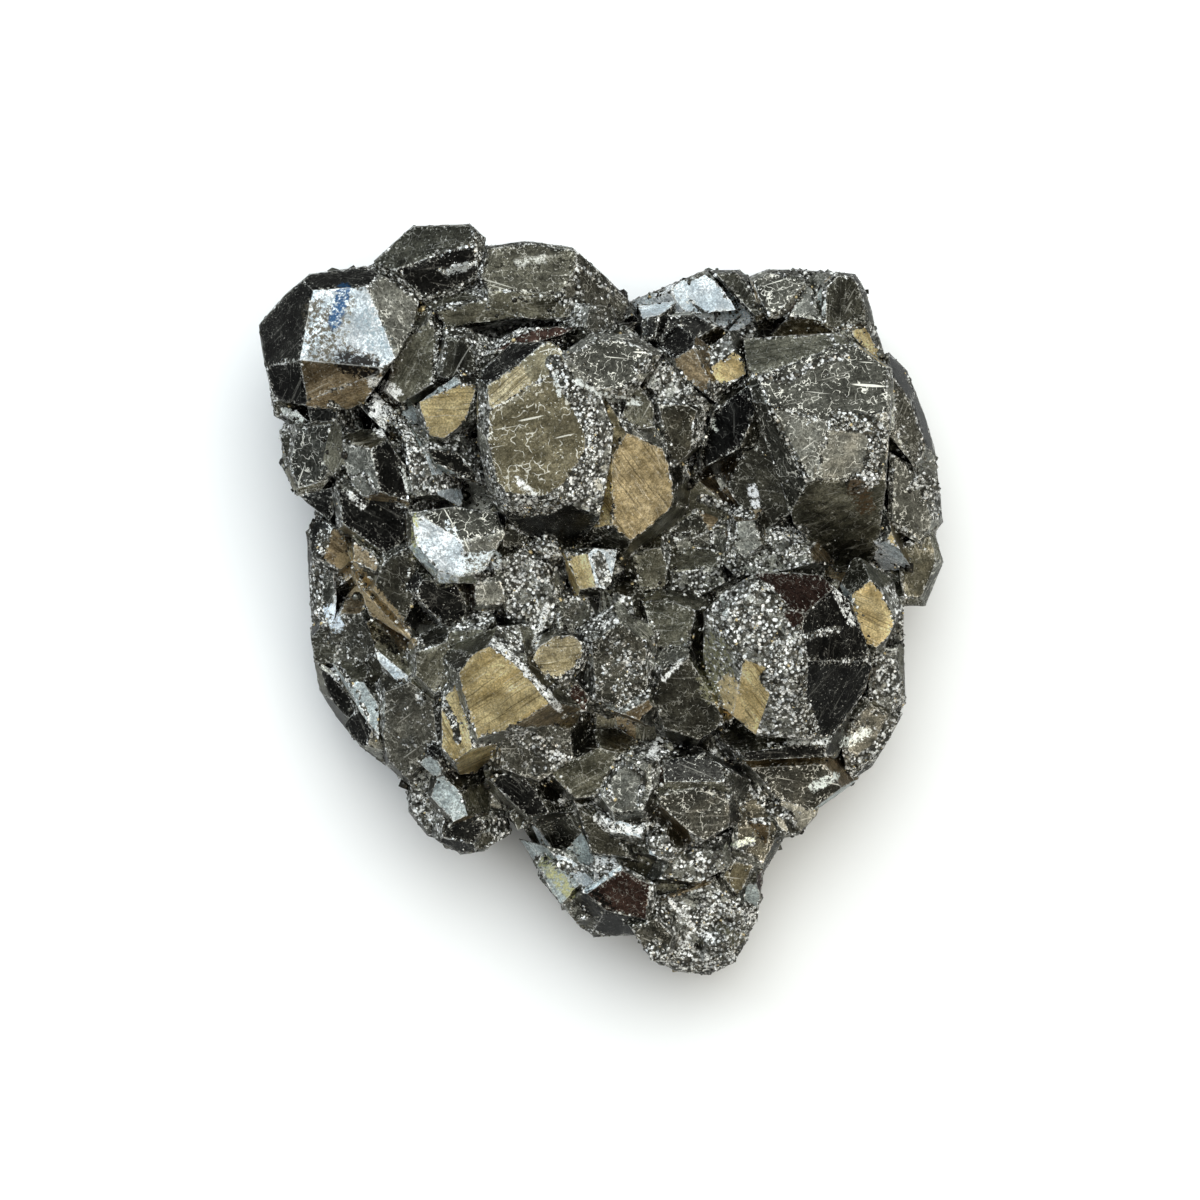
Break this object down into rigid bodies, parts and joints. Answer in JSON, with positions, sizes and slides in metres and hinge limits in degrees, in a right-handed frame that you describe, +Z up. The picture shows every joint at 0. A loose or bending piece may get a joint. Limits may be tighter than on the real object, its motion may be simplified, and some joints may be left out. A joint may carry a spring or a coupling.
{
  "type": "pyrite specimen",
  "caption": "Heart-shaped cluster of intergrown pyrite crystals with flat, bright metallic faces, resting on a flat broken underside.",
  "frame": {"origin": "middle of the cluster's box, on the plane that it rests on", "axes": "+Z up, away from the surface it rests on; +Y along its length, from the pointed lower tip to the notched upper edge; +X to the right when seen from above"},
  "size_m": [0.0549, 0.0604, 0.0247],
  "materials": {
    "pyrite": "bright metallic crystal faces, some finely streaked, with rough sparkling seams between them"
  },
  "bodies": {
    "root": {"pyrite_cluster": "pyrite"}
  },
  "joints": []
}
